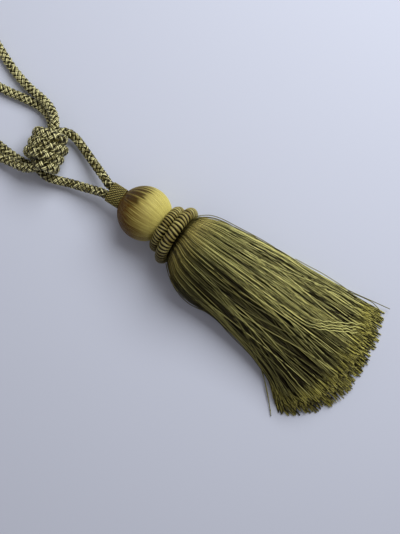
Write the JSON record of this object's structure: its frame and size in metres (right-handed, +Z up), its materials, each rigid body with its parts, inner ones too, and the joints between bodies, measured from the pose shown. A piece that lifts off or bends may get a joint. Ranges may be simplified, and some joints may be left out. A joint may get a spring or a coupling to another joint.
{
  "type": "tassel tieback",
  "caption": "Curtain tieback tassel with a cut yarn skirt, wrapped collar rings and a yarn-covered ball, hung by braided cords from a barrel knot between two cord loops.",
  "frame": {"origin": "the small flat spot under the ball, on the surface that the tassel lies on", "axes": "+X from the knot towards the cut end of the skirt, +Y across, +Z up"},
  "size_m": [0.4107, 0.1157, 0.0441],
  "materials": {
    "skirt_yarn": "satin",
    "ring_yarn": "satin",
    "ball_yarn": "satin",
    "binding_thread": "satin",
    "cord_yarn": "satin"
  },
  "bodies": {
    "root": {"skirt": "skirt_yarn", "collar_ring_1": "ring_yarn", "collar_ring_2": "ring_yarn", "ball": "ball_yarn", "neck_binding": "binding_thread", "knot": "cord_yarn", "cord_leg_upper": "cord_yarn", "cord_leg_lower": "cord_yarn", "loop_left": "cord_yarn", "loop_top": "cord_yarn"}
  },
  "joints": []
}
